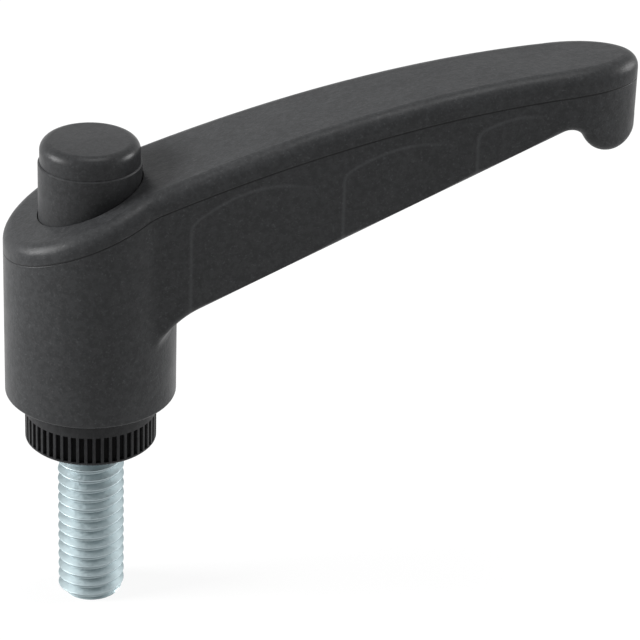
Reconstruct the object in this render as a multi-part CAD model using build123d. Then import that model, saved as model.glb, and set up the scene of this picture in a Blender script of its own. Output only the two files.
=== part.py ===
from build123d import *
import math
import os

# Adjustable clamping lever with a push button and an M6 stud, in millimetres.
# Frame: origin at the middle of the collar's clamping face, +Z up the screw axis,
# +X along the lever arm.
#
# The stud, the insert, the retaining screw and the button are one unit. The lever sits
# round them: a spring presses it down onto the insert's serration, and pressing the
# button while the lever is held lifts the lever clear of the teeth.

# ---- clamping stud ----
THREAD_DIAMETER = 6.0
STUD_LENGTH = 16.0
STUD_CHAMFER = 0.45
NECK_DIAMETER = 5.3
ANCHOR_ACROSS_FLATS = 7.0
ANCHOR_HEIGHT = 2.4
ANCHOR_COVER = 1.6
RELIEF_CLEARANCE = 0.3
RELIEF_DEPTH = 0.3

# ---- toothed insert: ribbed collar, serration and spigot ----
COLLAR_DIAMETER = 11.8
COLLAR_HEIGHT = 4.7
COLLAR_CHAMFER = 0.15
RIB_COUNT = 50
RIB_DEPTH = 0.28
RIB_START = 0.3
RIB_END = 2.8
TOOTH_COUNT = 24
TOOTH_TIP_DIAMETER = 9.8
TOOTH_DEPTH = 0.6
TOOTH_HEIGHT = 2.3
TOOTH_CLEARANCE = 0.08
SPIGOT_DIAMETER = 5.8
SPIGOT_TOP = 12.6

# ---- lever hub ----
HUB_DIAMETER = 15.3
HUB_EDGE_ROUND = 0.3
BACK_HEIGHT = 20.45
BACK_SLOPE = 25.5
SOCKET_ROOM = 0.5
WEB_TOP = 12.0
GUIDE_CLEARANCE = 0.06
BUTTON_CLEARANCE = 0.1

# ---- lever arm and nose ----
ARM_REACH = 48.4
ARM_ROOT_WIDTH = 12.3
ARM_TIP_WIDTH = 8.7
ARM_END_LENGTH = 7.5
TIP_HEIGHT = 35.4
TIP_SLOPE = 1.0
UNDERSIDE_HEIGHT = 10.7
NOSE_THICKNESS = 5.7
NOSE_OVERRUN = 0.5
NOSE_DEPTH = 8.3
NOTCH_ROUND = 1.5
TOP_EDGE_ROUND = 1.3
LOWER_EDGE_ROUND = 0.8
UNDERSIDE_ROUND = 7.6
ROOT_ROUND = 2.4

# ---- shallow finger panels in the arm's sides ----
PANEL_START = 8.1
PANEL_END_GAP = 0.5
PANEL_SHARES = (0.415, 0.365, 0.22)
PANEL_HEIGHTS = (9.2, 6.8, 4.6)
PANEL_DEPTH = 0.25

# ---- push button: sleeve and snapped-on cap ----
BUTTON_DIAMETER = 9.1
BUTTON_BOTTOM = 18.0
BUTTON_FLOOR = 2.0
BUTTON_BORE = 6.6
RING_HEIGHT = 27.1
RING_CHAMFER = 0.1
CAP_DIAMETER = 8.8
CAP_HEIGHT = 2.1
CAP_DOME = 0.12
CAP_EDGE_ROUND = 0.95
CAP_THICKNESS = 1.1
PLUG_LENGTH = 1.8
PLUG_WALL = 0.9

# ---- retaining screw ----
SCREW_DIAMETER = 3.0
SCREW_LENGTH = 14.0
SCREW_CHAMFER = 0.4
SCREW_HEAD_DIAMETER = 5.5
SCREW_HEAD_HEIGHT = 2.4
SCREW_HEAD_ROUND = 0.3
SCREW_SOCKET_FLATS = 2.5
SCREW_SOCKET_DEPTH = 1.3
SCREW_HOLE_CLEARANCE = 0.1
SCREW_HOLE_RUNOUT = 0.3

# ---- return spring ----
WIRE_DIAMETER = 0.6
SPRING_DIAMETER = 8.0
SPRING_TURNS = 4.5

# ---- the nose and the underside that runs up to it ----
NOTCH_X = ARM_REACH - NOSE_THICKNESS
# the nose's circle runs a little past the arm's end, so the two meet in an edge
NOSE_RADIUS = (NOSE_THICKNESS + NOSE_OVERRUN) / 2
NOSE_Z = TIP_HEIGHT - NOSE_DEPTH + NOSE_RADIUS
UNDERSIDE_SLOPE = (NOSE_Z - UNDERSIDE_HEIGHT) / NOTCH_X

# ---- heights that follow from the above ----
TOOTH_TOP = COLLAR_HEIGHT + TOOTH_HEIGHT
SOCKET_TOP = TOOTH_TOP + SOCKET_ROOM
CAP_TOP = RING_HEIGHT + CAP_HEIGHT
SCREW_SEAT = BUTTON_BOTTOM + BUTTON_FLOOR
SCREW_TIP = SCREW_SEAT - SCREW_LENGTH
RISING = (Align.CENTER, Align.CENTER, Align.MIN)


def rod(diameter, bottom, top):
    """A round bar on the screw axis."""
    return Pos(0, 0, bottom) * Cylinder(diameter / 2, top - bottom, align=RISING)


def hexagon_bar(across_flats, bottom, top):
    """A hexagonal bar on the screw axis."""
    flat_radius = across_flats / 2
    outline = RegularPolygon(flat_radius, 6, major_radius=False)
    return Pos(0, 0, bottom) * extrude(outline, top - bottom)


def toothed_outline(count, root_radius, tip_radius, root_share, tip_share):
    """A ring of straight teeth. The shares are a tooth's width over the pitch, at root and tip."""
    pitch = 2 * math.pi / count
    points = []
    for tooth in range(count):
        middle = tooth * pitch
        for side in (-1, 1):
            root = (root_radius, middle + side * root_share * pitch / 2)
            tip = (tip_radius, middle + side * tip_share * pitch / 2)
            flank = (root, tip) if side < 0 else (tip, root)
            for radius, angle in flank:
                points.append((radius * math.cos(angle), radius * math.sin(angle)))
    with BuildSketch() as outline:
        with BuildLine():
            Polyline(*points, close=True)
        make_face()
    return outline.sketch


# ---- clamping stud ----


def make_threaded_stud():
    """The stud at its full outside diameter, with the head that the insert is moulded round."""
    shank = rod(THREAD_DIAMETER, -STUD_LENGTH, 0)
    end = shank.edges().filter_by(GeomType.CIRCLE).sort_by(Axis.Z)[0]
    shank = chamfer(end, STUD_CHAMFER)
    neck = rod(NECK_DIAMETER, 0, ANCHOR_COVER)
    anchor = hexagon_bar(ANCHOR_ACROSS_FLATS, ANCHOR_COVER, ANCHOR_COVER + ANCHOR_HEIGHT)
    return shank + neck + anchor


# ---- toothed insert ----


def serration(clearance):
    """The serration that locks the lever, from the clamping shoulder up."""
    tip_radius = TOOTH_TIP_DIAMETER / 2
    return toothed_outline(
        TOOTH_COUNT,
        tip_radius - TOOTH_DEPTH + clearance,
        tip_radius + clearance,
        root_share=0.8,
        tip_share=0.25,
    )


def make_toothed_insert():
    collar = rod(COLLAR_DIAMETER, 0, COLLAR_HEIGHT)
    collar = chamfer(collar.edges().filter_by(GeomType.CIRCLE), COLLAR_CHAMFER)
    collar_radius = COLLAR_DIAMETER / 2
    rib_band = rod(COLLAR_DIAMETER + 1, RIB_START, RIB_END)
    ribs = toothed_outline(
        RIB_COUNT, collar_radius - RIB_DEPTH, collar_radius, root_share=0.55, tip_share=0.35
    )
    collar -= rib_band - Pos(0, 0, RIB_START) * extrude(ribs, RIB_END - RIB_START)
    teeth = Pos(0, 0, COLLAR_HEIGHT) * extrude(serration(0), TOOTH_HEIGHT)
    spigot = rod(SPIGOT_DIAMETER, COLLAR_HEIGHT, SPIGOT_TOP)
    insert = collar + teeth + spigot
    insert -= make_threaded_stud()
    insert -= rod(SCREW_DIAMETER, SCREW_TIP - SCREW_HOLE_RUNOUT, SPIGOT_TOP)
    insert -= rod(THREAD_DIAMETER + 2 * RELIEF_CLEARANCE, 0, RELIEF_DEPTH)
    return insert


# ---- lever body ----


def arm_plan():
    """The arm seen from above: tapered sides and an elliptical end."""
    end_start = ARM_REACH - ARM_END_LENGTH
    with BuildSketch() as plan:
        with BuildLine():
            Line((0, -ARM_ROOT_WIDTH / 2), (end_start, -ARM_TIP_WIDTH / 2))
            EllipticalCenterArc(
                (end_start, 0),
                ARM_END_LENGTH,
                ARM_TIP_WIDTH / 2,
                start_angle=-90,
                arc_size=180,
            )
            Line((end_start, ARM_TIP_WIDTH / 2), (0, ARM_ROOT_WIDTH / 2))
            Line((0, ARM_ROOT_WIDTH / 2), (0, -ARM_ROOT_WIDTH / 2))
        make_face()
    return plan.sketch


def underside_height(x):
    """The height of the arm's straight underside, which runs up to the notch at the nose."""
    return UNDERSIDE_HEIGHT + UNDERSIDE_SLOPE * x


def arm_profile():
    """The arm seen from the side: a long underside that sweeps down into the hub, and a nose."""
    notch = (NOTCH_X, NOSE_Z)
    root_x = math.sqrt(HUB_DIAMETER**2 - ARM_ROOT_WIDTH**2) / 2
    root = (root_x, underside_height(root_x))
    with BuildSketch(Plane.XZ) as profile:
        with BuildLine():
            Polyline((0, COLLAR_HEIGHT), (root_x, COLLAR_HEIGHT), root, notch)
            nose = CenterArc((NOTCH_X + NOSE_RADIUS, NOSE_Z), NOSE_RADIUS, 180, 180)
            front_x = NOTCH_X + 2 * NOSE_RADIUS
            Polyline(nose @ 1, (front_x, TIP_HEIGHT), (0, TIP_HEIGHT), (0, COLLAR_HEIGHT))
        make_face()
        fillet(profile.vertices().sort_by_distance(notch)[0], NOTCH_ROUND)
        fillet(profile.vertices().sort_by_distance(root)[0], UNDERSIDE_ROUND)
    return profile.sketch


def across_hub(profile):
    """A side profile made into a block that is wider than the lever."""
    return Pos(0, HUB_DIAMETER, 0) * extrude(profile, 2 * HUB_DIAMETER)


def finger_panel(start_x, end_x, height):
    """The cylinder that hollows one side: deepest at the lower edge, gone at the given height."""
    width = end_x - start_x
    middle = (start_x + end_x) / 2
    radius = width**2 / (8 * PANEL_DEPTH) + PANEL_DEPTH / 2
    taper = math.atan((ARM_ROOT_WIDTH - ARM_TIP_WIDTH) / 2 / (ARM_REACH - ARM_END_LENGTH))
    along = (math.cos(taper), -math.sin(taper), 0)
    side_y = ARM_ROOT_WIDTH / 2 - middle * math.tan(taper)
    side = Plane((middle, side_y, underside_height(middle)), x_dir=along, z_dir=(0, 0, 1))
    # shifted along the arm, so the hollow ends at both borders although the lower edge rises
    shift = UNDERSIDE_SLOPE * PANEL_DEPTH * radius / height
    lean = Rot(X=-math.degrees(math.atan(PANEL_DEPTH / height)))
    drop = UNDERSIDE_SLOPE * width / 2 + LOWER_EDGE_ROUND
    return side * lean * Pos(shift, radius - PANEL_DEPTH, 0) * rod(2 * radius, -drop, 2 * height)


def finger_panels():
    """One side's panels, which share out the arm's straight length from the hub to the tip."""
    panelled = ARM_REACH - ARM_END_LENGTH - PANEL_END_GAP - PANEL_START
    panels = []
    start_x = PANEL_START
    for share, height in zip(PANEL_SHARES, PANEL_HEIGHTS):
        end_x = start_x + share * panelled
        panels.append(finger_panel(start_x, end_x, height))
        start_x = end_x
    return panels


def arm_blank():
    """The arm with its full height, rounded along its lower edges and panelled on its sides."""
    blank = extrude(arm_plan(), TIP_HEIGHT) & across_hub(arm_profile())
    undersides = blank.faces().filter_by(lambda face: face.normal_at().Z < -0.1)
    undersides = undersides.filter_by(lambda face: face.center().Z > COLLAR_HEIGHT + 0.1)
    lower = ShapeList(edge for face in undersides for edge in face.edges())
    along = lower.filter_by(Axis.Y, reverse=True)
    blank = fillet(along, LOWER_EDGE_ROUND)
    for panel in finger_panels():
        blank -= panel
        blank -= mirror(panel, Plane.XZ)
    return blank


def below_top_surface():
    """Everything under the lever's long curved top, which levels out towards the tip."""
    start = Vector(-HUB_DIAMETER / 2, BACK_HEIGHT)
    end = Vector(ARM_REACH, TIP_HEIGHT)
    third = (end.X - start.X) / 3
    after_start = start + Vector(third, third * math.tan(math.radians(BACK_SLOPE)))
    before_end = end - Vector(third, third * math.tan(math.radians(TIP_SLOPE)))
    with BuildSketch(Plane.XZ) as profile:
        with BuildLine():
            Bezier(start, after_start, before_end, end)
            Polyline(end, (end.X, 0), (start.X, 0), start)
        make_face()
    return across_hub(profile.sketch)


def make_lever_body():
    """One moulding: hub and arm run into each other, and the hub is bored for what it holds."""
    hub = rod(HUB_DIAMETER, COLLAR_HEIGHT, TIP_HEIGHT)
    arm = arm_blank()
    lever = hub + arm
    roots = new_edges(hub, arm, combined=lever)
    roots = roots.filter_by(lambda edge: edge.center().Z < TIP_HEIGHT - ROOT_ROUND)
    lever = fillet(roots, ROOT_ROUND)
    lever &= below_top_surface()
    top = lever.faces().sort_by(Axis.Z)[-1]
    lever = fillet(top.edges(), TOP_EDGE_ROUND)
    bottom = lever.faces().sort_by(Axis.Z)[0]
    lever = fillet(bottom.edges(), HUB_EDGE_ROUND)

    socket_height = SOCKET_TOP - COLLAR_HEIGHT
    lever -= Pos(0, 0, COLLAR_HEIGHT) * extrude(serration(TOOTH_CLEARANCE), socket_height)
    lever -= rod(SPIGOT_DIAMETER + 2 * GUIDE_CLEARANCE, SOCKET_TOP, WEB_TOP)
    lever -= rod(BUTTON_DIAMETER + 2 * BUTTON_CLEARANCE, WEB_TOP, TIP_HEIGHT)
    return lever


# ---- push button ----


def turned(*points):
    """A round piece from half of its section, given as (radius, height) points."""
    with BuildSketch(Plane.XZ) as section:
        with BuildLine():
            Polyline(*points, close=True)
        make_face()
    return revolve(section.sketch, Axis.Z)


def make_button_sleeve():
    radius = BUTTON_DIAMETER / 2
    leg_radius = SPIGOT_DIAMETER / 2
    hole_radius = SCREW_DIAMETER / 2 + SCREW_HOLE_CLEARANCE
    bore_radius = BUTTON_BORE / 2
    return turned(
        (hole_radius, SPIGOT_TOP),
        (leg_radius, SPIGOT_TOP),
        (leg_radius, BUTTON_BOTTOM),
        (radius, BUTTON_BOTTOM),
        (radius, RING_HEIGHT - RING_CHAMFER),
        (radius - RING_CHAMFER, RING_HEIGHT),
        (bore_radius, RING_HEIGHT),
        (bore_radius, SCREW_SEAT),
        (hole_radius, SCREW_SEAT),
    )


def make_button_cap():
    """The domed cover, with a plug that snaps into the sleeve's bore."""
    radius = CAP_DIAMETER / 2
    rim_height = CAP_TOP - CAP_DOME
    ceiling = rim_height - CAP_THICKNESS
    plug_radius = BUTTON_BORE / 2
    plug_bottom = RING_HEIGHT - PLUG_LENGTH
    dome_radius = (radius**2 + CAP_DOME**2) / (2 * CAP_DOME)
    dome_angle = math.degrees(math.asin(radius / dome_radius))
    with BuildSketch(Plane.XZ) as section:
        with BuildLine():
            CenterArc((0, CAP_TOP - dome_radius), dome_radius, 90, -dome_angle)
            Polyline(
                (radius, rim_height),
                (radius, RING_HEIGHT),
                (plug_radius, RING_HEIGHT),
                (plug_radius, plug_bottom),
                (plug_radius - PLUG_WALL, plug_bottom),
                (plug_radius - PLUG_WALL, ceiling),
                (0, ceiling),
                (0, CAP_TOP),
            )
        make_face()
        rim = section.vertices().sort_by_distance((radius, rim_height))[0]
        fillet(rim, CAP_EDGE_ROUND)
    return revolve(section.sketch, Axis.Z)


# ---- retaining screw ----


def make_retaining_screw():
    head_top = SCREW_SEAT + SCREW_HEAD_HEIGHT
    head = rod(SCREW_HEAD_DIAMETER, SCREW_SEAT, head_top)
    rim = head.edges().filter_by(GeomType.CIRCLE).sort_by(Axis.Z)[-1]
    head = fillet(rim, SCREW_HEAD_ROUND)
    shank = rod(SCREW_DIAMETER, SCREW_TIP, SCREW_SEAT)
    tip = shank.edges().filter_by(GeomType.CIRCLE).sort_by(Axis.Z)[0]
    shank = chamfer(tip, SCREW_CHAMFER)
    return head + shank - hexagon_bar(SCREW_SOCKET_FLATS, head_top - SCREW_SOCKET_DEPTH, head_top)


# ---- return spring ----


def make_return_spring():
    """A coil spring with flat ground ends, between the lever's web and the button."""
    height = BUTTON_BOTTOM - WEB_TOP
    coil_radius = (SPRING_DIAMETER - WIRE_DIAMETER) / 2
    path = Helix(pitch=height / SPRING_TURNS, height=height, radius=coil_radius)
    wire = sweep(Plane(path @ 0, z_dir=path % 0) * Circle(WIRE_DIAMETER / 2), path, is_frenet=True)
    return Pos(0, 0, WEB_TOP) * wire & rod(SPRING_DIAMETER + 1, WEB_TOP, BUTTON_BOTTOM)


PIECES = {
    "threaded_stud": make_threaded_stud,
    "toothed_insert": make_toothed_insert,
    "lever_body": make_lever_body,
    "button_sleeve": make_button_sleeve,
    "button_cap": make_button_cap,
    "retaining_screw": make_retaining_screw,
    "return_spring": make_return_spring,
}

os.makedirs("parts", exist_ok=True)
for name, make_piece in PIECES.items():
    piece = make_piece()
    export_step(piece, f"parts/{name}.step")
    print(name, round(piece.volume, 1))
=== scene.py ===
"""Finishes the adjustable clamping lever: moulded plastic, threaded stud, coil spring, studio."""

import math

import bmesh
import bpy
from bpy.props import FloatProperty, FloatVectorProperty, IntProperty, PointerProperty
from mathutils import Matrix, Vector


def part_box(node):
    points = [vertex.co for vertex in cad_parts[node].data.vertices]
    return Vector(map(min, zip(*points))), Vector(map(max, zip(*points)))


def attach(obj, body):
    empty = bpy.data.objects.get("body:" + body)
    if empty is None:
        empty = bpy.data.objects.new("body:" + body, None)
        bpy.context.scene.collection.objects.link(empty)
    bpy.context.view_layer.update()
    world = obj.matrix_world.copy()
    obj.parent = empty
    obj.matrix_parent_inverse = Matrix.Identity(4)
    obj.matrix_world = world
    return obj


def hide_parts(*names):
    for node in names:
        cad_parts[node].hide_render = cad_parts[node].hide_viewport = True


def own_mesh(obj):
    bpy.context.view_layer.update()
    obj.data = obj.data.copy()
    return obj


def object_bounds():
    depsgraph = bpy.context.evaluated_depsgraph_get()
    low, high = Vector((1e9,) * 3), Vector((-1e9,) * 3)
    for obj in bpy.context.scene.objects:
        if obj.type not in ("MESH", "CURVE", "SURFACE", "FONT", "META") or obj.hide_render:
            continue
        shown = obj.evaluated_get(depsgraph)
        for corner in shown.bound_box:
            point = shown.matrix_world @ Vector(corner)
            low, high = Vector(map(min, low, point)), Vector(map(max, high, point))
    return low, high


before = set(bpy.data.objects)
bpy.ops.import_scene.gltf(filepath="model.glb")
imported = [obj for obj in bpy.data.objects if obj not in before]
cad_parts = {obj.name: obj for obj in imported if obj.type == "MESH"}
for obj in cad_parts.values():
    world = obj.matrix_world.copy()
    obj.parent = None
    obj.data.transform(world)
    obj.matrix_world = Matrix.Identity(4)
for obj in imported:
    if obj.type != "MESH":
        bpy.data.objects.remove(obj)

# The object's box, before the thread, the coil and the floor are added.
CAD_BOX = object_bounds()

bl_info = {
    "name": "Clamping Lever Finish",
    "version": (1, 0, 0),
    "blender": (4, 5, 0),
    "location": "3D View > Sidebar > Clamping Lever",
    "description": "Mouldings, threaded stud, coil spring and studio for a clamping lever",
    "category": "Object",
}

MM = 0.001

# The frame's nodes, one for each real piece of the lever.
LEVER_NODE = "lever_body"
INSERT_NODE = "toothed_insert"
SLEEVE_NODE = "button_sleeve"
CAP_NODE = "button_cap"
STUD_NODE = "threaded_stud"
SCREW_NODE = "retaining_screw"
SPRING_NODE = "return_spring"


# ---- settings ----


class MouldingSettings(bpy.types.PropertyGroup):
    """Colours, grain, ribs, seam and panel lines of the moulded polyamide pieces."""

    lever_colour: FloatVectorProperty(
        name="Lever colour",
        description="Base colour of the glass-filled polyamide of the lever",
        subtype="COLOR",
        size=3,
        min=0.0,
        max=1.0,
        default=(0.0255, 0.0262, 0.0273),
    )
    button_colour: FloatVectorProperty(
        name="Button colour",
        description="Base colour of the button's sleeve and cap",
        subtype="COLOR",
        size=3,
        min=0.0,
        max=1.0,
        default=(0.0220, 0.0225, 0.0235),
    )
    insert_colour: FloatVectorProperty(
        name="Insert colour",
        description="Base colour of the ribbed collar",
        subtype="COLOR",
        size=3,
        min=0.0,
        max=1.0,
        default=(0.0155, 0.0158, 0.0166),
    )
    collar_diameter: FloatProperty(
        name="Collar diameter",
        description="Outside diameter of the collar over its ribs",
        subtype="DISTANCE",
        min=1.0 * MM,
        default=11.8 * MM,
    )
    rib_depth: FloatProperty(
        name="Rib depth",
        description="Depth of the grooves between the collar's ribs",
        subtype="DISTANCE",
        min=0.01 * MM,
        default=0.28 * MM,
    )
    lever_roughness: FloatProperty(
        name="Lever roughness",
        description="Roughness of the eroded mould surface of the lever",
        subtype="FACTOR",
        min=0.0,
        max=1.0,
        default=0.38,
    )
    button_roughness: FloatProperty(
        name="Button roughness",
        description="Roughness of the button's finer surface",
        subtype="FACTOR",
        min=0.0,
        max=1.0,
        default=0.42,
    )
    cap_roughness: FloatProperty(
        name="Cap roughness",
        description="Roughness of the button's cap, which is polished by use",
        subtype="FACTOR",
        min=0.0,
        max=1.0,
        default=0.34,
    )
    grain_size: FloatProperty(
        name="Grain size",
        description="Width of one grain of the eroded surface",
        subtype="DISTANCE",
        min=0.02 * MM,
        default=0.20 * MM,
    )
    grain_depth: FloatProperty(
        name="Grain depth",
        description="Depth of the eroded surface",
        subtype="DISTANCE",
        min=0.0,
        default=0.030 * MM,
    )
    back_height: FloatProperty(
        name="Back height",
        description="Height of the top surface's curve over the hub's back",
        subtype="DISTANCE",
        default=20.45 * MM,
    )
    back_slope: FloatProperty(
        name="Back slope",
        description="Rise of the top surface's curve at the hub's back",
        subtype="ANGLE",
        default=math.radians(25.5),
    )
    tip_height: FloatProperty(
        name="Tip height",
        description="Height of the top surface's curve over the arm's tip",
        subtype="DISTANCE",
        default=35.4 * MM,
    )
    tip_slope: FloatProperty(
        name="Tip slope",
        description="Rise of the top surface's curve at the arm's tip",
        subtype="ANGLE",
        default=math.radians(1.0),
    )
    seam_drop: FloatProperty(
        name="Seam drop",
        description="Height of the lever's top surface above the mould's parting seam",
        subtype="DISTANCE",
        min=0.0,
        default=2.15 * MM,
    )
    seam_hub_drop: FloatProperty(
        name="Seam drop at the hub",
        description="The same height at the hub's back, where the seam runs closer to the top",
        subtype="DISTANCE",
        min=0.0,
        default=1.6 * MM,
    )
    seam_width: FloatProperty(
        name="Seam width",
        description="Width of the witness line that the mould halves leave",
        subtype="DISTANCE",
        min=0.0,
        default=0.13 * MM,
    )
    seam_depth: FloatProperty(
        name="Seam depth",
        description="Depth of the witness line",
        subtype="DISTANCE",
        min=0.0,
        default=0.04 * MM,
    )
    # The panel line is a painted highlight round each finger panel, where the panels' shallow edges
    # would catch the light.
    panel_highlight_width: FloatProperty(
        name="Panel line width",
        description="Width of the rubbed edge round each finger panel",
        subtype="DISTANCE",
        min=0.0,
        default=0.28 * MM,
    )


class StudSettings(bpy.types.PropertyGroup):
    """Sizes and plating of the threaded stud."""

    diameter: FloatProperty(
        name="Thread diameter",
        description="Outside diameter of the metric thread",
        subtype="DISTANCE",
        min=1.0 * MM,
        default=6.0 * MM,
    )
    pitch: FloatProperty(
        name="Pitch",
        description="Pitch of the metric thread",
        subtype="DISTANCE",
        min=0.2 * MM,
        default=1.0 * MM,
    )
    thread_depth: FloatProperty(
        name="Thread depth",
        description="Radial depth from crest to root",
        subtype="DISTANCE",
        min=0.05 * MM,
        default=0.6 * MM,
    )
    crest_angle: FloatProperty(
        name="Thread start",
        description="Direction, round the axis, of a crest at the clamping face",
        subtype="ANGLE",
        default=math.radians(-11.0),
    )
    end_chamfer: FloatProperty(
        name="End chamfer",
        description="Chamfer on the free end of the stud",
        subtype="DISTANCE",
        min=0.0,
        default=0.45 * MM,
    )
    neck_diameter: FloatProperty(
        name="Neck diameter",
        description="Diameter of the neck inside the collar",
        subtype="DISTANCE",
        min=1.0 * MM,
        default=5.3 * MM,
    )
    neck_length: FloatProperty(
        name="Neck length",
        description="Length of the neck, from the clamping face to the moulded-in head",
        subtype="DISTANCE",
        min=0.1 * MM,
        default=1.6 * MM,
    )
    head_across_flats: FloatProperty(
        name="Head across flats",
        description="Width of the hexagonal head that the collar is moulded round",
        subtype="DISTANCE",
        min=1.0 * MM,
        default=7.0 * MM,
    )
    steps_per_turn: IntProperty(
        name="Steps per turn",
        description="Faces round one turn of the thread",
        min=24,
        default=120,
    )
    plating_colour: FloatVectorProperty(
        name="Plating colour",
        description="Colour of the bluish zinc plating",
        subtype="COLOR",
        size=3,
        min=0.0,
        max=1.0,
        default=(0.33, 0.39, 0.407),
    )
    plating_roughness: FloatProperty(
        name="Plating roughness",
        description="Roughness of the zinc plating",
        subtype="FACTOR",
        min=0.0,
        max=1.0,
        default=0.50,
    )
    spangle_size: FloatProperty(
        name="Spangle size",
        description="Width of one spangle of the zinc plating",
        subtype="DISTANCE",
        min=0.05 * MM,
        default=0.25 * MM,
    )


class SteelSettings(bpy.types.PropertyGroup):
    """Colours and roughness of the bare steel pieces inside the lever."""

    screw_colour: FloatVectorProperty(
        name="Screw colour",
        description="Colour of the retaining screw's oiled steel",
        subtype="COLOR",
        size=3,
        min=0.0,
        max=1.0,
        default=(0.36, 0.35, 0.34),
    )
    screw_roughness: FloatProperty(
        name="Screw roughness",
        description="Roughness of the retaining screw",
        subtype="FACTOR",
        min=0.0,
        max=1.0,
        default=0.34,
    )
    spring_colour: FloatVectorProperty(
        name="Spring colour",
        description="Colour of the drawn spring wire",
        subtype="COLOR",
        size=3,
        min=0.0,
        max=1.0,
        default=(0.48, 0.47, 0.45),
    )
    spring_roughness: FloatProperty(
        name="Spring roughness",
        description="Roughness of the drawn spring wire",
        subtype="FACTOR",
        min=0.0,
        max=1.0,
        default=0.26,
    )
    mark_size: FloatProperty(
        name="Mark size",
        description="Width of one drawing mark in the steel",
        subtype="DISTANCE",
        min=0.05 * MM,
        default=0.3 * MM,
    )


class SpringSettings(bpy.types.PropertyGroup):
    """Sizes of the return spring's coil."""

    wire_diameter: FloatProperty(
        name="Wire diameter",
        description="Diameter of the spring's wire",
        subtype="DISTANCE",
        min=0.1 * MM,
        default=0.6 * MM,
    )
    turns: FloatProperty(
        name="Turns",
        description="Number of turns from one ground end to the other",
        min=1.0,
        default=4.5,
    )
    travel: FloatProperty(
        name="Lever travel",
        description="How much shorter the spring is when the lever is fully lifted",
        subtype="DISTANCE",
        min=0.0,
        default=2.5 * MM,
    )
    steps_per_turn: IntProperty(
        name="Steps per turn",
        description="Steps of the coil in one turn",
        min=12,
        default=48,
    )


class StageSettings(bpy.types.PropertyGroup):
    """Camera, lamps, surroundings and floor."""

    azimuth: FloatProperty(
        name="Camera azimuth",
        description="Direction of the camera round the screw axis",
        subtype="ANGLE",
        default=math.radians(-10.895),
    )
    elevation: FloatProperty(
        name="Camera elevation",
        description="Height of the camera above the horizon",
        subtype="ANGLE",
        default=math.radians(27.227),
    )
    roll: FloatProperty(
        name="Camera roll",
        description="Turn of the camera about its own line of sight",
        subtype="ANGLE",
        default=math.radians(1.885),
    )
    distance: FloatProperty(
        name="Camera distance",
        description="Distance from the camera to the point that it looks at",
        subtype="DISTANCE",
        default=300.0 * MM,
    )
    lens: FloatProperty(
        name="Focal length",
        description="Focal length on a 36 mm sensor",
        unit="CAMERA",
        default=186.84,
    )
    aim_right: FloatProperty(
        name="Aim to the right",
        description="How far right of the clamping face's middle the camera looks",
        subtype="DISTANCE",
        default=20.700 * MM,
    )
    aim_up: FloatProperty(
        name="Aim upwards",
        description="How far above the clamping face's middle the camera looks",
        subtype="DISTANCE",
        default=10.297 * MM,
    )
    left_place: FloatVectorProperty(
        name="Left lamp's place",
        description="Middle of the lamp at the hub's left",
        subtype="TRANSLATION",
        size=3,
        default=(-0.47, 0.02, 0.20),
    )
    left_power: FloatProperty(
        name="Left lamp",
        description="Power of the lamp at the hub's left",
        unit="POWER",
        min=0.0,
        default=5.5,
    )
    right_place: FloatVectorProperty(
        name="Right lamp's place",
        description="Middle of the lamp beyond the arm's tip",
        subtype="TRANSLATION",
        size=3,
        default=(0.55, 0.05, 0.20),
    )
    right_power: FloatProperty(
        name="Right lamp",
        description="Power of the lamp beyond the arm's tip",
        unit="POWER",
        min=0.0,
        default=3.6,
    )
    top_place: FloatVectorProperty(
        name="Top lamp's place",
        description="Middle of the lamp straight above the lever",
        subtype="TRANSLATION",
        size=3,
        default=(0.05, 0.0, 0.55),
    )
    top_power: FloatProperty(
        name="Top lamp",
        description="Power of the lamp that draws the bright line along the lever's top edges",
        unit="POWER",
        min=0.0,
        default=1.4,
    )
    lamp_size: FloatProperty(
        name="Lamp size",
        description="Width of each square lamp",
        subtype="DISTANCE",
        min=0.01,
        default=0.25,
    )
    sky: FloatProperty(
        name="Sky light",
        description="Strength of the white surroundings that light the lever",
        min=0.0,
        default=0.20,
    )
    shadow_reach: FloatProperty(
        name="Shadow reach",
        description="Distance from the stud at which the floor has turned plain white",
        subtype="DISTANCE",
        min=0.01,
        default=0.30,
    )
    floor_white: FloatProperty(
        name="Floor white",
        description="Share of plain white in the floor, over its own shade and shadow",
        subtype="FACTOR",
        min=0.0,
        max=1.0,
        default=0.88,
    )


# ---- node helpers ----


def put(tree, value, socket):
    """Joins a socket to another one, or writes a constant on it."""
    if isinstance(value, bpy.types.NodeSocket):
        tree.links.new(value, socket)
    else:
        socket.default_value = value


def maths(tree, operation, first, second=0.0, third=0.0):
    """One arithmetic node; gives its result."""
    node = tree.nodes.new("ShaderNodeMath")
    node.operation = operation
    for socket, value in zip(node.inputs, (first, second, third)):
        put(tree, value, socket)
    return node.outputs[0]


def remap(tree, value, from_range, to_range):
    """Moves a value smoothly from one range into another."""
    node = tree.nodes.new("ShaderNodeMapRange")
    node.interpolation_type = "SMOOTHSTEP"
    put(tree, value, node.inputs["Value"])
    node.inputs["From Min"].default_value, node.inputs["From Max"].default_value = from_range
    node.inputs["To Min"].default_value, node.inputs["To Max"].default_value = to_range
    return node.outputs[0]


def noise(tree, vector, scale, detail=2.0, roughness=0.5):
    """Cloudy noise between 0 and 1."""
    node = tree.nodes.new("ShaderNodeTexNoise")
    put(tree, vector, node.inputs["Vector"])
    put(tree, scale, node.inputs["Scale"])
    node.inputs["Detail"].default_value = detail
    node.inputs["Roughness"].default_value = roughness
    return node.outputs["Fac"]


def stretched(tree, vector, scale):
    """The vector scaled along each axis."""
    node = tree.nodes.new("ShaderNodeVectorMath")
    node.operation = "MULTIPLY"
    put(tree, vector, node.inputs[0])
    node.inputs[1].default_value = scale
    return node.outputs[0]


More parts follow.
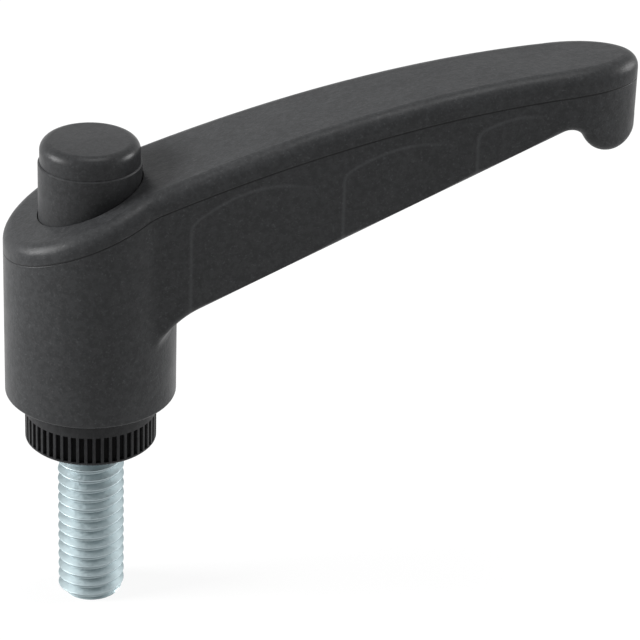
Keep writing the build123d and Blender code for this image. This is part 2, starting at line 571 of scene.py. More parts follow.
def blend_colours(tree, factor, first, second):
    """One colour mixed into another."""
    node = tree.nodes.new("ShaderNodeMix")
    node.data_type = "RGBA"
    factor_in, first_in, second_in = node.inputs[0], node.inputs[6], node.inputs[7]
    put(tree, factor, factor_in)
    put(tree, first, first_in)
    put(tree, second, second_in)
    return node.outputs[2]


def bump(tree, height, distance, normal=None):
    """Turns a height between 0 and 1 into a normal."""
    node = tree.nodes.new("ShaderNodeBump")
    node.inputs["Strength"].default_value = 1.0
    node.inputs["Distance"].default_value = distance
    put(tree, height, node.inputs["Height"])
    if normal is not None:
        put(tree, normal, node.inputs["Normal"])
    return node.outputs[0]


def group_frame(name, inputs, outputs):
    """An empty shader group with named sockets; gives the group, its inputs and its output node."""
    group = bpy.data.node_groups.new(name, "ShaderNodeTree")
    for label, kind, default in inputs:
        socket = group.interface.new_socket(label, in_out="INPUT", socket_type=kind)
        if default is not None:
            socket.default_value = default
    for label in outputs:
        group.interface.new_socket(label, in_out="OUTPUT", socket_type="NodeSocketFloat")
    entry = group.nodes.new("NodeGroupInput")
    leave = group.nodes.new("NodeGroupOutput")
    return group, entry.outputs, leave.inputs


def place_group(tree, name, **values):
    """Puts a shared group in a material with its own values; gives its outputs."""
    node = tree.nodes.new("ShaderNodeGroup")
    node.node_tree = bpy.data.node_groups[name]
    for label, value in values.items():
        put(tree, value, node.inputs[label.replace("_", " ")])
    return node.outputs


# ---- shared effects ----

GRAIN = "Eroded Grain"
FLOW = "Moulding Flow"
PLATING = "Plating"
SEAM = "Parting Seam"
PANEL = "Painted Panel Highlight"
RIBS = "Groove Shade"


def build_grain_group():
    """The fine matt grain of an eroded mould, with glass-fibre specks."""
    # coarse grains and specks per metre, for each fine grain per metre
    coarse_grains = 0.35
    fibre_specks = 0.8
    # the noise at which a speck begins, and at which it is whole
    speck_range = (0.55, 0.75)
    group, entry, leave = group_frame(
        GRAIN,
        [("Vector", "NodeSocketVector", None), ("Grains per Metre", "NodeSocketFloat", 6000.0)],
        ["Height", "Speck"],
    )
    fine = noise(group, entry["Vector"], entry["Grains per Metre"], detail=3.0, roughness=0.6)
    coarse_scale = maths(group, "MULTIPLY", entry["Grains per Metre"], coarse_grains)
    coarse = noise(group, entry["Vector"], coarse_scale, detail=1.0)
    height = maths(group, "MULTIPLY_ADD", coarse, 0.5, maths(group, "MULTIPLY", fine, 0.5))
    group.links.new(height, leave["Height"])
    speck_scale = maths(group, "MULTIPLY", entry["Grains per Metre"], fibre_specks)
    specks = noise(group, entry["Vector"], speck_scale, detail=2.0, roughness=0.7)
    group.links.new(remap(group, specks, speck_range, (0.0, 1.0)), leave["Speck"])


def build_flow_group():
    """Slow changes of tone and gloss, as the melt flowed and the mould wore."""
    # patches of tone are longer along the arm, and there are more patches of gloss
    drawn_out = (0.45, 1.0, 1.0)
    gloss_patches = 2.7
    group, entry, leave = group_frame(
        FLOW,
        [("Vector", "NodeSocketVector", None), ("Patches per Metre", "NodeSocketFloat", 120.0)],
        ["Tone", "Gloss"],
    )
    lengthwise = stretched(group, entry["Vector"], drawn_out)
    tone = noise(group, lengthwise, entry["Patches per Metre"], detail=4.0, roughness=0.55)
    group.links.new(tone, leave["Tone"])
    gloss_scale = maths(group, "MULTIPLY", entry["Patches per Metre"], gloss_patches)
    gloss = noise(group, entry["Vector"], gloss_scale, detail=3.0)
    group.links.new(gloss, leave["Gloss"])


def build_plating_group():
    """The faint clouds and marks of plated or drawn steel."""
    # clouds per metre, for each mark per metre
    clouds = 0.12
    # the noise at which a mark begins, and at which it is whole
    mark_range = (0.3, 0.7)
    group, entry, leave = group_frame(
        PLATING,
        [("Vector", "NodeSocketVector", None), ("Marks per Metre", "NodeSocketFloat", 4000.0)],
        ["Tone", "Roughness"],
    )
    cloud_scale = maths(group, "MULTIPLY", entry["Marks per Metre"], clouds)
    cloud = noise(group, entry["Vector"], cloud_scale, detail=3.0)
    group.links.new(cloud, leave["Tone"])
    fine = noise(group, entry["Vector"], entry["Marks per Metre"], detail=2.0, roughness=0.6)
    group.links.new(remap(group, fine, mark_range, (0.0, 1.0)), leave["Roughness"])


def build_seam_group():
    """1 on a mould's parting line, whose height is a cubic of the share along the part."""
    group, entry, leave = group_frame(
        SEAM,
        [
            ("Vector", "NodeSocketVector", None),
            ("Start X", "NodeSocketFloat", 0.0),
            ("Length", "NodeSocketFloat", 1.0),
            ("Cube", "NodeSocketFloat", 0.0),
            ("Square", "NodeSocketFloat", 0.0),
            ("Linear", "NodeSocketFloat", 0.0),
            ("Start Height", "NodeSocketFloat", 0.0),
            ("Width", "NodeSocketFloat", 0.1 * MM),
        ],
        ["Line"],
    )
    split = group.nodes.new("ShaderNodeSeparateXYZ")
    group.links.new(entry["Vector"], split.inputs[0])
    from_start = maths(group, "SUBTRACT", split.outputs["X"], entry["Start X"])
    share = maths(group, "DIVIDE", from_start, entry["Length"])
    height = maths(group, "MULTIPLY_ADD", share, entry["Cube"], entry["Square"])
    height = maths(group, "MULTIPLY_ADD", share, height, entry["Linear"])
    height = maths(group, "MULTIPLY_ADD", share, height, entry["Start Height"])
    off = maths(group, "ABSOLUTE", maths(group, "SUBTRACT", split.outputs["Z"], height))
    widths_off = maths(group, "DIVIDE", off, entry["Width"])
    group.links.new(remap(group, widths_off, (0.0, 1.0), (1.0, 0.0)), leave["Line"])


def build_panel_highlight_group():
    """1 on the outline of a panel with upright sides and a bowed top, fading to its right; it masks
    a painted highlight.
    """
    # where the line begins to fade and where it ends, in half widths from the middle
    fade_range = (-0.2, 0.95)
    group, entry, leave = group_frame(
        PANEL,
        [
            ("Vector", "NodeSocketVector", None),
            ("Middle X", "NodeSocketFloat", 0.0),
            ("Half Width", "NodeSocketFloat", 5.0 * MM),
            ("Top", "NodeSocketFloat", 5.0 * MM),
            ("Slope", "NodeSocketFloat", 0.0),
            ("Bow", "NodeSocketFloat", 0.0),
            ("Corner", "NodeSocketFloat", 1.0 * MM),
            ("Line", "NodeSocketFloat", 0.1 * MM),
        ],
        ["Edge"],
    )
    split = group.nodes.new("ShaderNodeSeparateXYZ")
    group.links.new(entry["Vector"], split.inputs[0])
    off_middle = maths(group, "SUBTRACT", split.outputs["X"], entry["Middle X"])
    across = maths(group, "DIVIDE", off_middle, entry["Half Width"])
    top = maths(group, "MULTIPLY_ADD", off_middle, entry["Slope"], entry["Top"])
    drop = maths(group, "MULTIPLY", entry["Bow"], maths(group, "MULTIPLY", across, across))
    over_top = maths(group, "SUBTRACT", split.outputs["Z"], maths(group, "SUBTRACT", top, drop))
    off = maths(group, "ABSOLUTE", off_middle)
    past_side = maths(group, "SUBTRACT", off, entry["Half Width"])
    outside = maths(group, "SMOOTH_MAX", past_side, over_top, entry["Corner"])
    lines_off = maths(group, "DIVIDE", maths(group, "ABSOLUTE", outside), entry["Line"])
    line = remap(group, lines_off, (0.0, 1.0), (1.0, 0.0))
    fade = remap(group, across, fade_range, (1.0, 0.0))
    group.links.new(maths(group, "MULTIPLY", line, fade), leave["Edge"])


def build_groove_group():
    """1 down in the grooves of something turned round the Z axis, 0 on its outside; it masks
    painted shade.
    """
    # the shares of the depth between which the painted shade in the groove deepens
    shade_range = (0.1, 0.9)
    group, entry, leave = group_frame(
        RIBS,
        [
            ("Vector", "NodeSocketVector", None),
            ("Radius", "NodeSocketFloat", 5.0 * MM),
            ("Depth", "NodeSocketFloat", 0.2 * MM),
        ],
        ["Groove"],
    )
    flat = stretched(group, entry["Vector"], (1.0, 1.0, 0.0))
    length = group.nodes.new("ShaderNodeVectorMath")
    length.operation = "LENGTH"
    group.links.new(flat, length.inputs[0])
    below = maths(group, "SUBTRACT", entry["Radius"], length.outputs["Value"])
    depths = maths(group, "DIVIDE", below, entry["Depth"])
    group.links.new(remap(group, depths, shade_range, (0.0, 1.0)), leave["Groove"])


def build_shared_groups():
    """Builds each shared effect once, before the materials that use it."""
    build_grain_group()
    build_flow_group()
    build_plating_group()
    build_seam_group()
    build_panel_highlight_group()
    build_groove_group()


# ---- materials ----

# How polyamide bends light, and how strongly it reflects, below the 0.5 of plain glass.
PLASTIC_IOR = 1.5
PLASTIC_SPECULAR = 0.115

# Tones of the moulded pieces, as shares of a piece's own colour.
FLOW_TONES = (0.85, 1.2)
PIT_TONE = 0.3
SPECK_TONE = 2.2
SEAM_TONE = 0.2
# the pale line round the finger panels is a painted highlight
PANEL_HIGHLIGHT_TONE = 2.6
# painted shade down in the collar's grooves
GROOVE_SHADE_TONE = 0.2

# How much of those tones shows, from 0 to 1.
PIT_STRENGTH = 0.35
SPECK_STRENGTH = 0.45
SEAM_STRENGTH = 0.95
# how strongly the painted highlight round the finger panels shows
PANEL_HIGHLIGHT_STRENGTH = 0.3

# The grain's height that is all pit, and the height that has none.
PIT_RANGE = (0.4, 0.6)
# The flow's noise, between these two values, makes the surface smoother or rougher by so much.
FLOW_RANGE = (0.3, 0.7)
FLOW_ROUGHNESS = (-0.04, 0.05)
# Roughness down in the grooves between the ribs.
GROOVE_ROUGHNESS = 0.95


def new_material(name):
    """A material with its Principled shader; gives material, tree, shader and object position."""
    material = bpy.data.materials.new(name)
    material.use_nodes = True
    tree = material.node_tree
    shader = tree.nodes["Principled BSDF"]
    position = tree.nodes.new("ShaderNodeTexCoord").outputs["Object"]
    return material, tree, shader, position


def shade(colour, share):
    """The colour made lighter or darker, with full alpha."""
    return (*[channel * share for channel in colour], 1.0)


def around(middle, spread):
    """The range that lies round a value."""
    return middle + spread[0], middle + spread[1]


def material_parts(material):
    """A material's tree, shader and object position, and the socket its colour comes from."""
    tree = material.node_tree
    shader = tree.nodes["Principled BSDF"]
    position = tree.nodes["Texture Coordinate"].outputs["Object"]
    tone = shader.inputs["Base Color"].links[0].from_socket
    return tree, shader, position, tone


def moulded_material(name, colour, roughness, grain_size, grain_depth):
    """Black moulded polyamide: an eroded grain, glass-fibre specks and flow marks."""
    material, tree, shader, position = new_material(name)
    grain = place_group(tree, GRAIN, Vector=position, Grains_per_Metre=1.0 / grain_size)
    flow = place_group(tree, FLOW, Vector=position)
    darker, paler = [shade(colour, share) for share in FLOW_TONES]
    tone = blend_colours(tree, flow["Tone"], darker, paler)
    pits = remap(tree, grain["Height"], PIT_RANGE, (PIT_STRENGTH, 0.0))
    tone = blend_colours(tree, pits, tone, shade(colour, PIT_TONE))
    specks = maths(tree, "MULTIPLY", grain["Speck"], SPECK_STRENGTH)
    tone = blend_colours(tree, specks, tone, shade(colour, SPECK_TONE))
    gloss = remap(tree, flow["Gloss"], FLOW_RANGE, around(roughness, FLOW_ROUGHNESS))
    tree.links.new(tone, shader.inputs["Base Color"])
    tree.links.new(gloss, shader.inputs["Roughness"])
    tree.links.new(bump(tree, grain["Height"], grain_depth), shader.inputs["Normal"])
    shader.inputs["IOR"].default_value = PLASTIC_IOR
    shader.inputs["Specular IOR Level"].default_value = PLASTIC_SPECULAR
    return material


def add_parting_seam(material, look):
    """Draws the mould's witness line along the side, below the lever's long curved top."""
    tree, shader, position, tone = material_parts(material)
    low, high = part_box(LEVER_NODE)
    length = high.x - low.x
    # The seam's height is a Bezier curve of these four heights, from the hub's back to the tip.
    # They are those of the top, less the drop, which is smaller at the hub's back.
    back = look.back_height - look.seam_hub_drop
    after_back = look.back_height + length / 3 * math.tan(look.back_slope) - look.seam_drop
    before_tip = look.tip_height - length / 3 * math.tan(look.tip_slope) - look.seam_drop
    tip = look.tip_height - look.seam_drop
    seam = place_group(
        tree,
        SEAM,
        Vector=position,
        Start_X=low.x,
        Length=length,
        Cube=tip - 3 * before_tip + 3 * after_back - back,
        Square=3 * (back - 2 * after_back + before_tip),
        Linear=3 * (after_back - back),
        Start_Height=back,
        Width=look.seam_width,
    )
    share = maths(tree, "MULTIPLY", seam["Line"], SEAM_STRENGTH)
    tone = blend_colours(tree, share, tone, shade(look.lever_colour, SEAM_TONE))
    tree.links.new(tone, shader.inputs["Base Color"])
    normal = shader.inputs["Normal"].links[0].from_socket
    groove = maths(tree, "SUBTRACT", 1.0, seam["Line"])
    tree.links.new(bump(tree, groove, look.seam_depth, normal), shader.inputs["Normal"])


# Outlines of the painted highlight round the finger panels in the arm's sides: start, end, top at
# the middle, and how far it bows.
PANELS = (
    (8.1 * MM, 21.5 * MM, 26.3 * MM, 2.4 * MM),
    (21.5 * MM, 33.3 * MM, 29.3 * MM, 1.6 * MM),
    (33.3 * MM, 40.4 * MM, 31.3 * MM, 0.8 * MM),
)
# How steeply the tops of the panels rise along the arm.
PANEL_SLOPE = 0.12


def add_painted_panel_highlights(material, look):
    """Paints a pale highlight along the edges of the finger panels in the arm's sides."""
    tree, shader, position, tone = material_parts(material)
    for start, end, top, bow in PANELS:
        panel = place_group(
            tree,
            PANEL,
            Vector=position,
            Middle_X=(start + end) / 2,
            Half_Width=(end - start) / 2,
            Top=top,
            Slope=PANEL_SLOPE,
            Bow=bow,
            Line=look.panel_highlight_width,
        )
        share = maths(tree, "MULTIPLY", panel["Edge"], PANEL_HIGHLIGHT_STRENGTH)
        tone = blend_colours(tree, share, tone, shade(look.lever_colour, PANEL_HIGHLIGHT_TONE))
    tree.links.new(tone, shader.inputs["Base Color"])


def add_painted_groove_shade(material, look):
    """Dulls the grooves between the collar's ribs and darkens them with painted shade."""
    tree, shader, position, tone = material_parts(material)
    ribs = place_group(
        tree, RIBS, Vector=position, Radius=look.collar_diameter / 2, Depth=look.rib_depth
    )
    # painted shade: the grooves' colour is darkened by their depth below the ribs
    tone = blend_colours(tree, ribs["Groove"], tone, shade(look.insert_colour, GROOVE_SHADE_TONE))
    tree.links.new(tone, shader.inputs["Base Color"])
    gloss = shader.inputs["Roughness"].links[0].from_socket
    dull = maths(tree, "MULTIPLY", ribs["Groove"], GROOVE_ROUGHNESS)
    tree.links.new(maths(tree, "MAXIMUM", gloss, dull), shader.inputs["Roughness"])


# The clouds' tones as shares of the steel's own colour, how the marks change its roughness and
# how deep they are, and the tint of the steel seen edge on.
CLOUD_TONES = (0.85, 1.1)
MARK_ROUGHNESS = (-0.06, 0.08)
MARK_DEPTH = 0.0006 * MM
EDGE_TINT = (0.25, 0.27, 0.28)


def metal_material(name, colour, roughness, mark_size):
    """Plated or drawn steel with faint clouds and marks."""
    material, tree, shader, position = new_material(name)
    marks = place_group(tree, PLATING, Vector=position, Marks_per_Metre=1.0 / mark_size)
    darker, paler = [shade(colour, share) for share in CLOUD_TONES]
    tone = blend_colours(tree, marks["Tone"], darker, paler)
    tree.links.new(tone, shader.inputs["Base Color"])
    gloss = remap(tree, marks["Roughness"], (0.0, 1.0), around(roughness, MARK_ROUGHNESS))
    tree.links.new(gloss, shader.inputs["Roughness"])
    tree.links.new(bump(tree, marks["Roughness"], MARK_DEPTH), shader.inputs["Normal"])
    shader.inputs["Metallic"].default_value = 1.0
    shader.inputs["Specular Tint"].default_value = (*EDGE_TINT, 1.0)
    return material


def seen_directly(tree):
    """1 for the camera, for reflections and through glass, 0 for light on other surfaces."""
    path = tree.nodes.new("ShaderNodeLightPath")
    seen = maths(tree, "MAXIMUM", path.outputs["Is Camera Ray"], path.outputs["Is Glossy Ray"])
    return maths(tree, "MAXIMUM", seen, path.outputs["Is Transmission Ray"])


def mix_in_white(tree, shader, share):
    """Mixes plain white into what the camera and reflections see of a surface."""
    white = tree.nodes.new("ShaderNodeEmission")
    white.inputs["Strength"].default_value = 1.0
    mix = tree.nodes.new("ShaderNodeMixShader")
    tree.links.new(maths(tree, "MULTIPLY", seen_directly(tree), share), mix.inputs[0])
    tree.links.new(shader.outputs[0], mix.inputs[1])
    tree.links.new(white.outputs[0], mix.inputs[2])
    tree.links.new(mix.outputs[0], tree.nodes["Material Output"].inputs["Surface"])


def dress(node_name, material):
    """Gives a CAD node its finished material."""
    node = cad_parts[node_name]
    if not node.material_slots:
        node.data.materials.append(material)
    for slot in node.material_slots:
        slot.material = material


# ---- meshes ----

# Edges that turn by less than this are smooth.
SHARP_EDGE = math.radians(35.0)
# Edges shorter than this are dissolved where a mesh is cut.
SLIVER_WIDTH = 0.004 * MM
HEXAGON_SIDES = 6
WIRE_SIDES = 12


def mesh_piece(name, bm):
    """Turns a bmesh into an object in the scene, smooth but for its sharp edges."""
    bmesh.ops.recalc_face_normals(bm, faces=bm.faces)
    for face in bm.faces:
        face.smooth = True
    for edge in bm.edges:
        edge.smooth = edge.calc_face_angle(0.0) < SHARP_EDGE
    mesh = bpy.data.meshes.new(name)
    bm.to_mesh(mesh)
    bm.free()
    piece = bpy.data.objects.new(name, mesh)
    bpy.context.scene.collection.objects.link(piece)
    return piece


def add_prism(bm, sides, radius, bottom, top):
    """A closed upright prism round the axis; its first corner points along +X."""
    turns = [2 * math.pi * side / sides for side in range(sides)]
    low, high = [
        [bm.verts.new((radius * math.cos(turn), radius * math.sin(turn), z)) for turn in turns]
        for z in (bottom, top)
    ]
    bm.faces.new(low[::-1])
    bm.faces.new(high)
    for side in range(sides):
        after = (side + 1) % sides
        bm.faces.new((low[side], low[after], high[after], high[side]))


def cut_level(bm, height, outward):
    """Cuts off what is beyond a level plane and closes the cut."""
    everything = bm.verts[:] + bm.edges[:] + bm.faces[:]
    cut = bmesh.ops.bisect_plane(
        bm, geom=everything, plane_co=(0, 0, height), plane_no=outward, clear_outer=True
    )
    rim = [item for item in cut["geom_cut"] if isinstance(item, bmesh.types.BMEdge)]
    bmesh.ops.edgeloop_fill(bm, edges=rim)
    bmesh.ops.dissolve_degenerate(bm, dist=SLIVER_WIDTH, edges=bm.edges)


def thread_profile(depth, pitch):
    """One pitch of a rolled thread, as (height, step from the crest's radius) pairs."""
    # the crest's flat is that of metric threads
    crest_flat = pitch / 8
    root_flat = pitch / 6
    flank = (pitch - crest_flat - root_flat) / 2
    root_start = crest_flat / 2 + flank
    # how much of the depth each rounded corner takes
    corner = 0.04
    flank_points = 5
    profile = [(-crest_flat / 2, -corner * depth), (0.0, 0.0)]
    for step in range(flank_points + 1):
        share = step / flank_points
        drop = corner + (1 - 2 * corner) * share
        profile.append((crest_flat / 2 + flank * share, -drop * depth))
    profile.append((root_start + root_flat / 2, -depth))
    for step in range(flank_points):
        share = step / flank_points
        drop = 1 - corner - (1 - 2 * corner) * share
        profile.append((root_start + root_flat + flank * share, -drop * depth))
    return profile


def thread_mesh(radius, bottom, top, settings):
    """A right-hand thread, closed flat at both ends and chamfered at the free one."""
    profile = thread_profile(settings.thread_depth, settings.pitch)
    steps = settings.steps_per_turn
    # turns that go past each end, and are cut off
    spare_turns = 2
    start = bottom - spare_turns * settings.pitch
    turns = math.ceil((top - start) / settings.pitch) + spare_turns
    bm = bmesh.new()
    rows = []
    for step in range(turns * steps + 1):
        turn = step / steps
        angle = settings.crest_angle + 2 * math.pi * turn
        row = []
        for height, drop in profile:
            z = start + turn * settings.pitch + height
            chamfered = radius - settings.end_chamfer + max(z - bottom, 0.0)
            r = min(radius + drop, chamfered)
            row.append(bm.verts.new((r * math.cos(angle), r * math.sin(angle), z)))
        rows.append(row)
    for step in range(len(rows) - 1):
        here, after = rows[step], rows[step + 1]
        for low, high in zip(range(len(profile) - 1), range(1, len(profile))):
            bm.faces.new((here[low], after[low], after[high], here[high]))
        if step + 1 + steps < len(rows):
            above, above_after = rows[step + steps], rows[step + steps + 1]
            bm.faces.new((here[-1], after[-1], above_after[0], above[0]))
    cut_level(bm, bottom, (0, 0, -1))
    cut_level(bm, top, (0, 0, 1))
    return bm


def coil_mesh(radius, bottom, top, settings):
    """A right-hand coil of round wire, whose two ends are ground flat."""
    steps = round(settings.turns * settings.steps_per_turn)
    wire_radius = settings.wire_diameter / 2
    slope = math.atan((top - bottom) / settings.turns / (2 * math.pi * radius))
    bm = bmesh.new()
    rings = []
    for step in range(steps + 1):
        angle = 2 * math.pi * settings.turns * step / steps
        outward = Vector((math.cos(angle), math.sin(angle), 0.0))
        forward = Vector((-math.sin(angle), math.cos(angle), 0.0))
        upward = Vector((0.0, 0.0, math.cos(slope))) - forward * math.sin(slope)
        middle = outward * radius + Vector((0.0, 0.0, bottom + (top - bottom) * step / steps))
        ring = []
        for side in range(WIRE_SIDES):
            turn = 2 * math.pi * side / WIRE_SIDES
            spoke = outward * math.cos(turn) + upward * math.sin(turn)
            ring.append(bm.verts.new(middle + spoke * wire_radius))
        rings.append(ring)
    for here, after in zip(rings, rings[1:]):
        for side in range(WIRE_SIDES):
            beside = (side + 1) % WIRE_SIDES
            bm.faces.new((here[side], after[side], after[beside], here[beside]))
    bm.faces.new(rings[0])
    bm.faces.new(rings[-1][::-1])
    cut_level(bm, bottom, (0, 0, -1))
    cut_level(bm, top, (0, 0, 1))
    return bm


# ---- operators ----

# The grain of the button and the insert, as shares of the lever's.
BUTTON_GRAIN_SIZE = 0.8
BUTTON_GRAIN_DEPTH = 0.4
INSERT_GRAIN_DEPTH = 0.5


class CLAMPLEVER_OT_lever(bpy.types.Operator):
    """Gives the lever its matt polyamide, a painted highlight round the finger panels and the
    mould's seam
    """

    bl_idname = "clamplever.lever"
    bl_label = "Finish Lever"

    def execute(self, context):
        look = context.scene.lever_moulding
        material = moulded_material(
            "lever_polyamide",
            look.lever_colour,
            look.lever_roughness,
            look.grain_size,
            look.grain_depth,
        )
        add_painted_panel_highlights(material, look)
        add_parting_seam(material, look)
        dress(LEVER_NODE, material)
        return {"FINISHED"}


class CLAMPLEVER_OT_button(bpy.types.Operator):
    """Gives the button's sleeve and cap their smoother polyamide"""

    bl_idname = "clamplever.button"
    bl_label = "Finish Button"

    def execute(self, context):
        look = context.scene.lever_moulding
        for node, roughness in (
            (SLEEVE_NODE, look.button_roughness),
            (CAP_NODE, look.cap_roughness),
        ):
            material = moulded_material(
                f"{node}_polyamide",
                look.button_colour,
                roughness,
                look.grain_size * BUTTON_GRAIN_SIZE,
                look.grain_depth * BUTTON_GRAIN_DEPTH,
            )
            dress(node, material)
        return {"FINISHED"}


class CLAMPLEVER_OT_insert(bpy.types.Operator):
    """Gives the ribbed collar and its serration their polyamide, with painted shade in the grooves
    """

    bl_idname = "clamplever.insert"
    bl_label = "Finish Insert"

    def execute(self, context):
        look = context.scene.lever_moulding
        material = moulded_material(
            "insert_polyamide",
            look.insert_colour,
            look.button_roughness,
            look.grain_size,
            look.grain_depth * INSERT_GRAIN_DEPTH,
        )
        add_painted_groove_shade(material, look)
        dress(INSERT_NODE, material)
        return {"FINISHED"}


class CLAMPLEVER_OT_stud(bpy.types.Operator):
    """Builds the plated stud, with its metric thread, neck and hexagonal head"""

    bl_idname = "clamplever.stud"
    bl_label = "Build Threaded Stud"

    def execute(self, context):
        settings = context.scene.lever_stud
        low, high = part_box(STUD_NODE)
        neck_radius = settings.neck_diameter / 2
        # the corners of a hexagon lie this far out
        head_radius = settings.head_across_flats / math.sqrt(3)
        bm = thread_mesh(settings.diameter / 2, low.z, 0.0, settings)
        add_prism(bm, settings.steps_per_turn, neck_radius, 0.0, settings.neck_length)
        add_prism(bm, HEXAGON_SIDES, head_radius, settings.neck_length, high.z)
        stud = mesh_piece("stud_thread", bm)
        stud.data.materials.append(
            metal_material(
                "zinc_plating",
                settings.plating_colour,
                settings.plating_roughness,
                settings.spangle_size,
            )
        )
        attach(stud, "screw_unit")
        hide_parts(STUD_NODE)
        return {"FINISHED"}


class CLAMPLEVER_OT_screw(bpy.types.Operator):
    """Gives the retaining screw its steel"""

    bl_idname = "clamplever.screw"
    bl_label = "Finish Retaining Screw"

    def execute(self, context):
        steel = context.scene.lever_steel
        screw = metal_material(
            "screw_steel", steel.screw_colour, steel.screw_roughness, steel.mark_size
        )
        dress(SCREW_NODE, screw)
        return {"FINISHED"}


class CLAMPLEVER_OT_spring(bpy.types.Operator):
    """Builds the return spring, which shortens as the lever is lifted"""

    bl_idname = "clamplever.spring"
    bl_label = "Build Return Spring"

    def execute(self, context):
        steel = context.scene.lever_steel
        settings = context.scene.lever_spring
        low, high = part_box(SPRING_NODE)
        coil_radius = (high.x - low.x - settings.wire_diameter) / 2
        spring = mesh_piece("coil_spring", coil_mesh(coil_radius, low.z, high.z, settings))
        spring.data.materials.append(
            metal_material(
                "spring_steel", steel.spring_colour, steel.spring_roughness, steel.mark_size
            )
        )
        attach(spring, "spring")
        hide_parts(SPRING_NODE)
        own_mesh(spring)
        return {"FINISHED"}


# ---- stage ----

# The sensor's width in millimetres, as lenses are counted, and how near and far is seen.
SENSOR_WIDTH = 36.0
NEAREST_SEEN = 1.0 * MM
FARTHEST_SEEN = 10.0

WHITE = (1.0, 1.0, 1.0, 1.0)
FLOOR_COLOUR = (0.9, 0.9, 0.9, 1.0)
FLOOR_ROUGHNESS = 0.9
FLOOR_HALF_WIDTH = 2.0
# The gap that keeps the stud's end and the floor from lying in one plane.
FLOOR_GAP = 0.02 * MM


def area_lamp(name, place, size, power):
    """A soft square lamp turned towards the lever's middle."""
    light = bpy.data.lights.new(name, "AREA")
    light.shape = "SQUARE"
    light.size = size
    light.energy = power
    lamp = bpy.data.objects.new(name, light)
    lamp.location = place
    middle = (Vector(CAD_BOX[0]) + Vector(CAD_BOX[1])) / 2
    lamp.rotation_euler = (middle - place).to_track_quat("-Z", "Y").to_euler()
    bpy.context.scene.collection.objects.link(lamp)


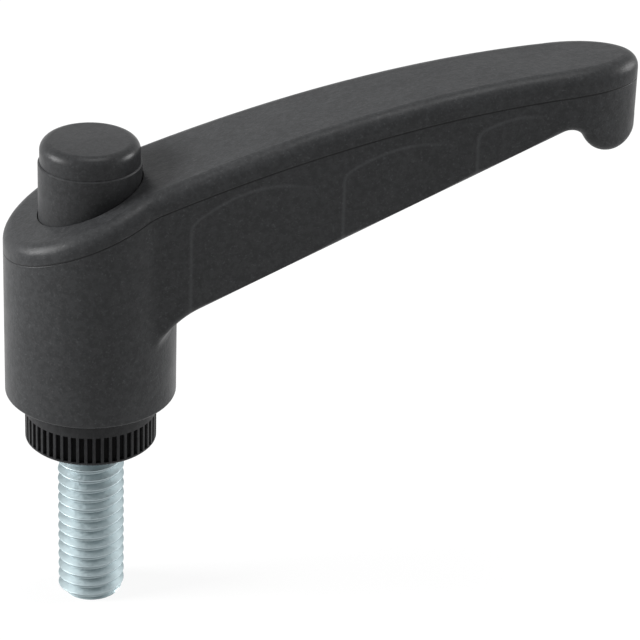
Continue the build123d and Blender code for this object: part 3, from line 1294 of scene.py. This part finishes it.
class CLAMPLEVER_OT_stage(bpy.types.Operator):
    """Builds the camera, the lamps, the world and the floor"""

    bl_idname = "clamplever.stage"
    bl_label = "Build Stage"

    def execute(self, context):
        settings = context.scene.lever_stage
        self.build_camera(context, settings)
        self.build_lamps(settings)
        self.build_floor(settings)
        self.build_world(context, settings)
        context.scene.view_settings.view_transform = "Standard"
        return {"FINISHED"}

    def build_camera(self, context, settings):
        """A long lens that looks down at the lever's near side, from a little to its left."""
        level = math.cos(settings.elevation)
        back = Vector((
            math.sin(settings.azimuth) * level,
            -math.cos(settings.azimuth) * level,
            math.sin(settings.elevation),
        ))
        right = Vector((math.cos(settings.azimuth), math.sin(settings.azimuth), 0.0))
        up = back.cross(right)
        roll = Matrix.Rotation(settings.roll, 3, back)
        right, up = roll @ right, roll @ up
        data = bpy.data.cameras.new("camera")
        data.sensor_width = SENSOR_WIDTH
        data.lens = settings.lens
        data.clip_start = NEAREST_SEEN
        data.clip_end = FARTHEST_SEEN
        camera = bpy.data.objects.new("camera", data)
        aim = right * settings.aim_right + up * settings.aim_up
        camera.matrix_world = Matrix.Translation(aim + back * settings.distance) @ Matrix(
            (right, up, back)
        ).transposed().to_4x4()
        context.scene.collection.objects.link(camera)
        context.scene.camera = camera

    def build_lamps(self, settings):
        """Strong soft lamps at both sides and a weaker one above, so the edges stand out."""
        size = settings.lamp_size
        area_lamp("left_lamp", Vector(settings.left_place), size, settings.left_power)
        area_lamp("right_lamp", Vector(settings.right_place), size, settings.right_power)
        area_lamp("top_lamp", Vector(settings.top_place), size, settings.top_power)

    def build_floor(self, settings):
        """A white floor that keeps the lever's shadow."""
        half = FLOOR_HALF_WIDTH
        level = CAD_BOX[0].z - FLOOR_GAP
        bm = bmesh.new()
        corners = [(-half, -half), (half, -half), (half, half), (-half, half)]
        bm.faces.new([bm.verts.new((x, y, level)) for x, y in corners])
        floor = mesh_piece("floor", bm)
        material, tree, shader, position = new_material("floor_white")
        shader.inputs["Base Color"].default_value = FLOOR_COLOUR
        shader.inputs["Roughness"].default_value = FLOOR_ROUGHNESS
        # past the shadow the floor turns plain white, so that it has no visible end
        distance = tree.nodes.new("ShaderNodeVectorMath")
        distance.operation = "LENGTH"
        tree.links.new(position, distance.inputs[0])
        reach = (settings.shadow_reach / 2, settings.shadow_reach)
        white = remap(tree, distance.outputs["Value"], reach, (settings.floor_white, 1.0))
        mix_in_white(tree, shader, white)
        floor.data.materials.append(material)

    def build_world(self, context, settings):
        """Surroundings that look plain white, and light the lever more weakly."""
        world = bpy.data.worlds.new("studio")
        world.use_nodes = True
        tree = world.node_tree
        background = tree.nodes["Background"]
        background.inputs["Color"].default_value = WHITE
        seen = seen_directly(tree)
        strength = maths(tree, "MULTIPLY_ADD", seen, 1.0 - settings.sky, settings.sky)
        tree.links.new(strength, background.inputs["Strength"])
        context.scene.world = world


class CLAMPLEVER_PT_panel(bpy.types.Panel):
    """Lists the steps that build the lever's finish, and its settings"""

    bl_label = "Clamping Lever"
    bl_idname = "CLAMPLEVER_PT_panel"
    bl_space_type = "VIEW_3D"
    bl_region_type = "UI"
    bl_category = "Clamping Lever"

    def draw(self, context):
        column = self.layout.column()
        for operator in OPERATORS:
            column.operator(operator.bl_idname)
        for group_name in SETTINGS:
            group = getattr(context.scene, group_name)
            for label in group.__annotations__:
                column.prop(group, label)


SETTINGS = {
    "lever_moulding": MouldingSettings,
    "lever_stud": StudSettings,
    "lever_steel": SteelSettings,
    "lever_spring": SpringSettings,
    "lever_stage": StageSettings,
}
OPERATORS = (
    CLAMPLEVER_OT_stage,
    CLAMPLEVER_OT_lever,
    CLAMPLEVER_OT_insert,
    CLAMPLEVER_OT_button,
    CLAMPLEVER_OT_stud,
    CLAMPLEVER_OT_screw,
    CLAMPLEVER_OT_spring,
)
CLASSES = (*SETTINGS.values(), *OPERATORS, CLAMPLEVER_PT_panel)


def register():
    """Registers the classes and gives the scene its settings."""
    for cls in CLASSES:
        bpy.utils.register_class(cls)
    for group_name, group in SETTINGS.items():
        setattr(bpy.types.Scene, group_name, PointerProperty(type=group))


def unregister():
    """Takes the settings and the classes away again."""
    for group_name in SETTINGS:
        delattr(bpy.types.Scene, group_name)
    for cls in reversed(CLASSES):
        bpy.utils.unregister_class(cls)


def main():
    """Builds the stage and every finish."""
    register()
    build_shared_groups()
    bpy.ops.clamplever.stage()
    bpy.ops.clamplever.lever()
    bpy.ops.clamplever.insert()
    bpy.ops.clamplever.button()
    bpy.ops.clamplever.stud()
    bpy.ops.clamplever.screw()
    bpy.ops.clamplever.spring()


if __name__ == "__main__":
    main()
